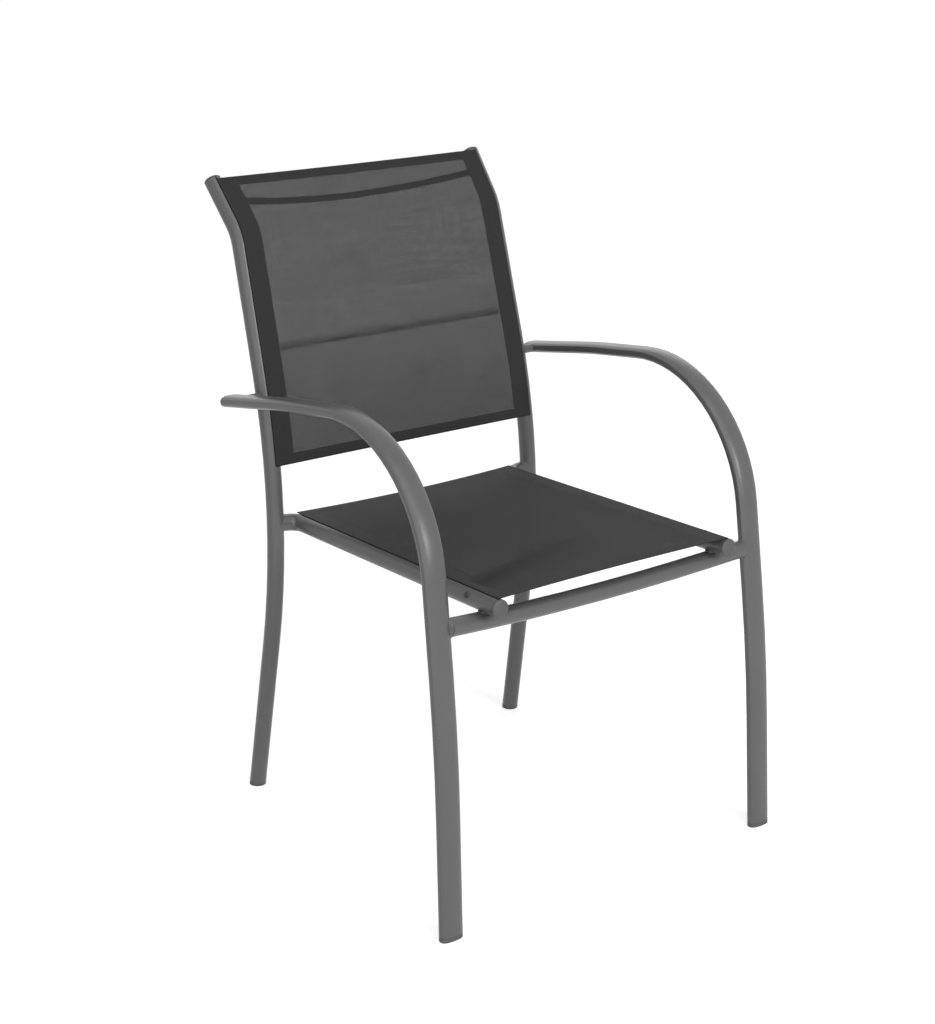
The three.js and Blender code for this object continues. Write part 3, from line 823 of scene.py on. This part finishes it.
def give_shares(piece, name, shares):
    """Stores a share for each point, which the cloth's finish reads by name."""
    attribute = piece.data.attributes.new(name, "FLOAT", "POINT")
    attribute.data.foreach_set("value", np.array(shares, np.float32))


def cloth_piece(name, vertices, flat, rows, columns, folded):
    """A layer of cloth. folded says for a flat place, or for them all, how far it lies double."""
    piece = add_object(name, vertices, grid_faces(rows, columns), MESH_CLOTH)
    yarn = piece.data.attributes.new("yarn", "FLOAT_VECTOR", "POINT")
    yarn.data.foreach_set("vector", np.array(flat, np.float32).ravel())
    give_shares(piece, "folded", [folded(place) if callable(folded) else folded for place in flat])
    solidify = piece.modifiers.new("cloth_thickness", "SOLIDIFY")
    solidify.thickness = CLOTH_THICKNESS
    solidify.offset = 0
    return piece


# Stores for each point of the cloth how much painted shade darkens its crease
def paint_crease_shade(cloth, sling):
    places = np.empty(3 * len(cloth.data.vertices), np.float32)
    cloth.data.attributes["yarn"].data.foreach_get("vector", places)
    give_shares(cloth, "painted_crease_shade", [sling.painted_crease_shade(place) for place in places.reshape(-1, 3)])


def hem_piece(sling, name, edge_distance, inward):
    """A hem: the sheet's end rolls over and comes back underneath for the hem's width."""
    roll = (TOP_LAYER_LIFT - UNDER_LAYER_LIFT) / 2
    middle_lift = (TOP_LAYER_LIFT + UNDER_LAYER_LIFT) / 2
    stations = []
    for turn in np.linspace(0, math.pi, HEM_ROLL_ROWS):
        out = edge_distance - inward * roll * math.sin(turn)
        stations.append((out, middle_lift + roll * math.cos(turn)))
    for reach in np.linspace(0, HEM_WIDTH, HEM_FLAT_ROWS)[1:]:
        stations.append((edge_distance + inward * reach, UNDER_LAYER_LIFT))
    count = int(round(2 * sling.half_width(edge_distance) / CLOTH_STEP))
    vertices = []
    flat = []
    for distance, lift in stations:
        for share in np.linspace(-1, 1, count + 1):
            across = share * sling.half_width(distance)
            vertices.append(sling.place(across, distance, lift))
            flat.append((across, distance, 0.0))
    return cloth_piece(name, vertices, flat, len(stations), count + 1, 1)


# Stitching

def stitch_mesh(start, end, up):
    """One stitch lying between two points of the cloth."""
    middle = (start + end) / 2
    ahead = unit(end - start)
    half = np.linalg.norm(end - start) / 2
    up = unit(up - ahead * (up @ ahead))
    aside = np.cross(ahead, up)
    vertices = []
    for along, thick, arch in STITCH_RINGS:
        centre = middle + ahead * half * along + up * STITCH_RADIUS * arch
        for side in range(STITCH_SIDES):
            turn = 2 * math.pi * side / STITCH_SIDES
            reach = aside * math.cos(turn) + up * math.sin(turn)
            vertices.append(centre + reach * STITCH_RADIUS * thick)
    return vertices, tube_faces(len(STITCH_RINGS), STITCH_SIDES)


def tube_faces(rings, sides):
    """Faces of a tube of rings, closed at both ends."""
    faces = []
    for ring in range(rings - 1):
        here = ring * sides
        for side in range(sides):
            following = (side + 1) % sides
            faces.append((here + side, here + following, here + sides + following, here + sides + side))
    faces.append(tuple(reversed(range(sides))))
    faces.append(tuple((rings - 1) * sides + side for side in range(sides)))
    return faces


def stitch_row(points, ups):
    """Stitches at an even pitch along a line of points on the cloth."""
    points = np.array(points)
    ups = np.array(ups)
    steps = np.linalg.norm(np.diff(points, axis=0), axis=1)
    reached = np.concatenate([[0], np.cumsum(steps)])

    def at(distance, values):
        return np.array([np.interp(distance, reached, values[:, axis]) for axis in range(3)])

    stitches = []
    for index in range(int(reached[-1] / STITCH_PITCH)):
        begin = index * STITCH_PITCH + (STITCH_PITCH - STITCH_LENGTH) / 2
        end = begin + STITCH_LENGTH
        stitches.append(stitch_mesh(at(begin, points), at(end, points), at(begin, ups)))
    return stitches


def joined(parts):
    vertices = []
    faces = []
    for own_vertices, own_faces in parts:
        base = len(vertices)
        vertices.extend(own_vertices)
        faces.extend([tuple(base + corner for corner in face) for face in own_faces])
    return vertices, faces


def sling_stitches(sling):
    """Rows of stitches: one inside each pocket's edge, one inside each hem, and the cross seam's."""
    lift = TOP_LAYER_LIFT + CLOTH_THICKNESS / 2
    stitches = []
    rows = spread(sling.start + STITCH_PITCH, sling.end - STITCH_PITCH, 2 * CLOTH_STEP)
    ups = [sling.line.at(row)[2] for row in rows]
    inset = POCKET_WIDTH - POCKET_SEAM_INSET
    for side in (-1, 1):
        points = [sling.place(side * (sling.half_width(row) - inset), row, lift) for row in rows]
        stitches += stitch_row(points, ups)
    hem_inset = HEM_WIDTH - HEM_SEAM_INSET
    for row in [sling.start + hem_inset, sling.end - hem_inset] + sling.seams:
        half = sling.half_width(row) - POCKET_WIDTH
        points = [sling.place(across, row, lift) for across in spread(-half, half, 2 * CLOTH_STEP)]
        stitches += stitch_row(points, [sling.line.at(row)[2]] * len(points))
    vertices, faces = joined(stitches)
    return add_object(f"{sling.name}_stitches", vertices, faces, THREAD)


def dress_sling(sling):
    """The sling's sheet, its folded pockets and hems, its seams and their stitches."""
    rows = spread(sling.start, sling.end, CLOTH_STEP)
    name = sling.name
    cloth = sling.sheet(f"{name}_cloth", rows, sling.full_columns, TOP_LAYER_LIFT, sling.doubled)
    # The crease's painted shade; a sling without a crease gets none
    paint_crease_shade(cloth, sling)
    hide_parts(name)
    under = UNDER_LAYER_LIFT
    left = sling.sheet(f"{name}_left_pocket", rows, sling.left_pocket_columns, under, 1)
    right = sling.sheet(f"{name}_right_pocket", rows, sling.right_pocket_columns, under, 1)
    first_hem = hem_piece(sling, f"{name}_first_hem", sling.start, 1)
    last_hem = hem_piece(sling, f"{name}_last_hem", sling.end, -1)
    stitches = sling_stitches(sling)
    middle = (sling.start + sling.end) / 2
    width = 2 * (sling.edge(middle, TOP_LAYER_LIFT) + SLOT_DIVE)


class BackSling(Sling):
    """The back's sheet, whose mesh is pulled wider towards the top."""

    shoulder = UPRIGHT.distance_at_height(SEAT_BEND_HEIGHT + BACK_RISE)

    def tension(self, across, distance):
        closed = SAG_CLOSED_SHARE * (self.end - distance) / (self.end - self.start)
        return closed - TOP_OPENED_SHARE * smooth((distance - self.shoulder) / SHOULDER_FADE)


def back_sling():
    start = UPRIGHT.distance_at_height(RAIL_HEIGHT - RAIL_DROP + BACK_SLING_ABOVE_RAIL)
    end = UPRIGHT.length - BACK_SLING_BELOW_TOP
    seams = [UPRIGHT.distance_at_height(BACK_SEAM_HEIGHT)]
    slot_end = end + SLOT_FADE
    sling = BackSling(
        "back_sling", UPRIGHT, start, end, slot_end, BACK_SLOT_DEGREES, BACK_SLING_SAG, (0, 0), seams
    )
    dress_sling(sling)


class SeatSling(Sling):
    """The seat's sheet, with a soft crease from the left front corner towards the middle, darkened there
    by painted shade.
    """

    def crease(self, share, distance):
        """How deep in the crease a place lies, from 0 to 1. share is -1 at the left rail and 1 at the
        right one."""
        inward = 1 + share
        line = CREASE_START + (CREASE_END - CREASE_START) * inward
        off = (distance - line) / (CREASE_NARROW + (CREASE_WIDE - CREASE_NARROW) * inward)
        if off < 0:
            off = off / CREASE_FRONT_SHARE
        fade = smooth((CREASE_REACH_SHARE - share) / CREASE_FADE_SHARE)
        return math.exp(-off * off) * fade * smooth(inward / CREASE_RAMP_SHARE)

    def pull(self, share, distance):
        return CREASE_DEPTH * self.crease(share, distance)

    def crease_at(self, across, distance):
        """How deep in the crease a place of the flat sheet lies, from 0 to 1."""
        share = min(max(across / self.half_width(distance), -1), 1)
        return self.crease(share, self.hollowed(distance, share))

    def painted_crease_shade(self, flat_place):
        across, distance, _ = flat_place
        # Painted shade, darkest in the crease's middle
        return CREASE_PAINTED_SHADE_SHARE * self.crease_at(across, distance)

    def tension(self, across, distance):
        return CREASE_CLOSED_SHARE * self.crease_at(across, distance)


def seat_sling():
    start = SEAT_SLING_FRONT_MARGIN
    end = RAIL.length + SEAT_SLING_REAR_REACH
    slot_end = RAIL.length - RAIL_BEND_RADIUS
    hollows = (SEAT_FRONT_HOLLOW, SEAT_REAR_HOLLOW)
    sling = SeatSling(
        "seat_sling", RAIL, start, end, slot_end, SEAT_SLOT_DEGREES, SEAT_SLING_SAG, hollows, []
    )
    dress_sling(sling)


# Welds

def surface_tree(node):
    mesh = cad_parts[node].data
    vertices = [vertex.co.copy() for vertex in mesh.vertices]
    return BVHTree.FromPolygons(vertices, [tuple(polygon.vertices) for polygon in mesh.polygons])


def ring_of(index):
    return 2 * math.pi * index / WELD_STATIONS


def crossing_bead(touch):
    """A closed bead round the place where one tube lies on another."""
    vertices = []
    for index in range(WELD_STATIONS):
        out = np.array([math.cos(ring_of(index)), math.sin(ring_of(index)), 0])
        for side in range(CROSSING_WELD_SIDES):
            turn = 2 * math.pi * side / CROSSING_WELD_SIDES
            reach = out * math.cos(turn) + np.array([0, 0, 1]) * math.sin(turn)
            vertices.append(touch + out * CROSSING_WELD_REACH + reach * CROSSING_WELD_RADIUS)
    return vertices, looped_faces(WELD_STATIONS, CROSSING_WELD_SIDES, True)


def looped_faces(stations, rings, closed):
    """Faces of a band that runs round in stations, with rings across it."""
    faces = []
    for index in range(stations):
        here = index * rings
        there = ((index + 1) % stations) * rings
        for ring in range(rings if closed else rings - 1):
            following = (ring + 1) % rings
            faces.append((here + ring, here + following, there + following, there + ring))
    return faces


def smoothed(path):
    path = np.array(path)
    for _ in range(WELD_SMOOTH_ROUNDS):
        path = (np.roll(path, 1, axis=0) + 2 * path + np.roll(path, -1, axis=0)) / 4
    return path


def weld_paths(branch, main, joint, toward, radius, leg, end_reach):
    """Where a fillet starts on the branch, has its corner and ends on the main tube, all round."""
    main_tree = surface_tree(main)
    branch_tree = surface_tree(branch)
    first = unit(np.cross(toward, [0, 0, 1]))
    second = np.cross(toward, first)
    back_off = radius + 2 * ARM_TUBE_WIDTH
    starts = []
    corners = []
    feet = []
    for index in range(WELD_STATIONS):
        out = first * math.cos(ring_of(index)) + second * math.sin(ring_of(index))
        rim = joint + out * radius
        hit = main_tree.ray_cast(Vector(rim - toward * back_off), Vector(toward), back_off)
        met = min((np.array(hit[0]) - rim) @ toward if hit[0] else 0, end_reach)
        start = branch_tree.find_nearest(Vector(rim + toward * (met - leg)))[0]
        foot = main_tree.find_nearest(Vector(rim + toward * met + out * leg))[0]
        starts.append(np.array(start) - out * WELD_SINK)
        corners.append(rim + toward * met)
        feet.append(np.array(foot) + toward * WELD_SINK)
    return smoothed(starts), smoothed(corners), smoothed(feet)


def end_weld(name, branch, main, joint, toward, radius, leg=WELD_LEG, end_reach=math.inf):
    """The hollow fillet where a tube's end meets the side of another. joint is inside the other
    tube, and end_reach is how far past joint the tube itself ends."""
    toward = unit(np.array(toward, float))
    starts, corners, feet = weld_paths(branch, main, joint, toward, radius, leg, end_reach)
    around = np.linalg.norm(corners - np.roll(corners, 1, axis=0), axis=1).sum()
    ripples = round(around / WELD_RIPPLE_LENGTH)
    vertices = []
    for index in range(WELD_STATIONS):
        lift = unit(starts[index] + feet[index] - 2 * corners[index])
        for share in np.linspace(0, 1, WELD_RINGS):
            point = starts[index] * (1 - share) ** 2 + feet[index] * share ** 2
            point = point + corners[index] * 2 * share * (1 - share)
            wave = WELD_RIPPLE * math.sin(ripples * ring_of(index) + WELD_RIPPLE_SLANT * share)
            vertices.append(point + lift * wave * 4 * share * (1 - share))
    return add_object(name, vertices, looped_faces(WELD_STATIONS, WELD_RINGS, False), PAINT)


def flipped(point, side):
    """A point or direction of the right side, taken to the side that is -1 for left or 1 for right."""
    return np.array([side * point[0], point[1], point[2]])


def spacer_welds(side, word):
    spacer = f"{word}_arm_spacer"
    arm = f"{word}_front_leg_arm"
    upright = f"{word}_upright"
    outward = flipped(OUTWARD, side)
    arm_side = flipped(ARM_JOINT + np.array([2 * TUBE_RADIUS + ARM_SPACER_LENGTH, 0, 0]), side)
    upright_side = flipped(ARM_JOINT, side)
    radius = ARM_SPACER_RADIUS
    leg = SPACER_WELD_LEG
    end_weld(f"{word}_arm_weld", spacer, arm, arm_side, outward, radius, leg)
    end_weld(f"{word}_upright_weld", spacer, upright, upright_side, -outward, radius, leg)


def front_bar_weld(side, word):
    inside_leg = flipped(FRONT_BAR[0] + np.array([TUBE_RADIUS / 2, 0, 0]), side)
    end_weld(
        f"{word}_front_bar_weld", "front_crossbar", f"{word}_front_leg_arm", inside_leg,
        flipped(OUTWARD, side), TUBE_RADIUS, end_reach=-TUBE_RADIUS / 2,
    )


def rear_bar_weld(side, word):
    place = RAIL.at(RAIL.length - REAR_BAR_AHEAD)[0] - np.array([0, 0, REAR_BAR_DROP])
    end_weld(
        f"{word}_rear_bar_weld", "rear_crossbar", f"{word}_seat_rail", flipped(place, side),
        flipped(REAR_BAR_END, side), REAR_BAR_RADIUS,
    )


def top_bar_weld(side, word):
    place = UPRIGHT.at(UPRIGHT.length - TOP_BAR_BELOW_END)[0]
    end_weld(
        f"{word}_top_bar_weld", "top_crossbar", f"{word}_upright", flipped(place, side),
        flipped(TOP_BAR_END, side), TOP_BAR_RADIUS, SPACER_WELD_LEG,
    )


def rail_welds(side, word):
    end_weld(
        f"{word}_rail_weld", f"{word}_seat_rail", f"{word}_upright", flipped(RAIL_JOINT, side),
        flipped(OUTWARD, side), TUBE_RADIUS,
    )
    touch = flipped(RAIL_OVER_BAR, side) - np.array([0, 0, TUBE_RADIUS + PIECE_GAP / 2])
    vertices, faces = crossing_bead(touch)
    add_object(f"{word}_rail_crossing_weld", vertices, faces, PAINT)


def welds():
    for side, word in ((-1, "left"), (1, "right")):
        spacer_welds(side, word)
        front_bar_weld(side, word)
        rear_bar_weld(side, word)
        top_bar_weld(side, word)
        rail_welds(side, word)


# Frame finish

MATERIAL_OF_SLOT = {
    "frame_paint": PAINT,
    "cap_plastic": PLASTIC,
    "keder_plastic": ROD_PLASTIC,
    "rivet_metal": RIVET_METAL,
}


def round_shading():
    """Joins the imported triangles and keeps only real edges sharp, so that round tubes look round."""
    tree = bpy.data.node_groups.new("round_shading", "GeometryNodeTree")
    tree.interface.new_socket("Geometry", in_out="INPUT", socket_type="NodeSocketGeometry")
    tree.interface.new_socket("Geometry", in_out="OUTPUT", socket_type="NodeSocketGeometry")
    nodes = Nodes(tree)
    packed = nodes.add("NodeGroupInput").outputs[0]
    merge = nodes.add("GeometryNodeMergeByDistance", {}, {"Geometry": packed, "Distance": SAME_PLACE})
    angle = nodes.add("GeometryNodeInputMeshEdgeAngle").outputs["Unsigned Angle"]
    compare = {"data_type": "FLOAT", "operation": "GREATER_THAN"}
    sharp = nodes.add("FunctionNodeCompare", compare, {0: angle, 1: math.radians(SHARP_DEGREES)})
    values = {"Mesh": merge.outputs[0], "Edge Sharpness": sharp.outputs[0]}
    normals = nodes.add("GeometryNodeSetMeshNormal", {"mode": "SHARPNESS"}, values)
    nodes.add("NodeGroupOutput", {}, {0: normals.outputs[0]})
    return tree


def dress_frame():
    """Finishes every rigid node. The slings' nodes are replaced, so they are left out."""
    shading = round_shading()
    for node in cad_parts.values():
        slot_name = node.data.materials[0].name.split(".")[0]
        if slot_name not in MATERIAL_OF_SLOT:
            continue
        for index in range(len(node.material_slots)):
            node.material_slots[index].link = "OBJECT"
            node.material_slots[index].material = MATERIAL_OF_SLOT[slot_name]
        modifier = node.modifiers.new("round_shading", "NODES")
        modifier.node_group = shading


# Camera, light and floor

def photo_camera():
    azimuth = math.radians(CAMERA_AZIMUTH_DEGREES)
    pitch = math.radians(CAMERA_PITCH_DEGREES)
    roll = math.radians(CAMERA_ROLL_DEGREES)
    back = Vector((
        math.sin(azimuth) * math.cos(pitch),
        -math.cos(azimuth) * math.cos(pitch),
        math.sin(pitch),
    ))
    level_right = Vector((math.cos(azimuth), math.sin(azimuth), 0))
    level_up = back.cross(level_right)
    right = level_right * math.cos(roll) + level_up * math.sin(roll)
    up = level_up * math.cos(roll) - level_right * math.sin(roll)
    camera = add_to_scene("photo_camera", bpy.data.cameras.new("photo_camera"))
    camera.data.sensor_width = FILM_SIZE_MM
    camera.data.lens = FOCAL_LENGTH_PX * FILM_SIZE_MM / IMAGE_HEIGHT_PX
    turned = Matrix((right, up, back)).transposed().to_4x4()
    camera.matrix_world = Matrix.Translation(CAMERA_PLACE) @ turned
    bpy.context.scene.camera = camera


def soft_box(name, place, size, watts):
    light = bpy.data.lights.new(name, "AREA")
    light.shape = "RECTANGLE"
    light.size = size[0]
    light.size_y = size[1]
    light.energy = watts
    lamp = add_to_scene(name, light)
    lamp.location = place
    lamp.rotation_euler = (Vector(LIGHT_AIM) - Vector(place)).to_track_quat("-Z", "Y").to_euler()


def studio():
    """A white room that lights the chair less than it shows, and four soft boxes."""
    world = bpy.data.worlds.new("studio")
    world.use_nodes = True
    bpy.context.scene.world = world
    nodes = Nodes(world.node_tree)
    fill = nodes.add("ShaderNodeBackground", {}, {"Color": WHITE, "Strength": ROOM_FILL})
    white = nodes.add("ShaderNodeBackground", {}, {"Color": WHITE, "Strength": 1.0})
    room = nodes.chosen(nodes.seen_rays(), fill, white)
    nodes.add("ShaderNodeOutputWorld", {}, {"Surface": room.outputs[0]})
    soft_box("front_soft_box", FRONT_PLACE, FRONT_SIZE, FRONT_WATTS)
    soft_box("key_soft_box", KEY_PLACE, KEY_SIZE, KEY_WATTS)
    soft_box("rear_soft_box", REAR_PLACE, REAR_SIZE, REAR_WATTS)
    soft_box("top_soft_box", TOP_PLACE, TOP_SIZE, TOP_WATTS)


def floor():
    mesh = bpy.data.meshes.new("floor")
    half = FLOOR_SIZE / 2
    corners = [(-half, -half, 0), (half, -half, 0), (half, half, 0), (-half, half, 0)]
    mesh.from_pydata(corners, [], [(0, 1, 2, 3)])
    mesh.materials.append(pale_floor())
    add_to_scene("floor", mesh)


photo_camera()
studio()
floor()
dress_frame()
back_sling()
seat_sling()
welds()

bpy.context.scene.view_settings.view_transform = "Standard"
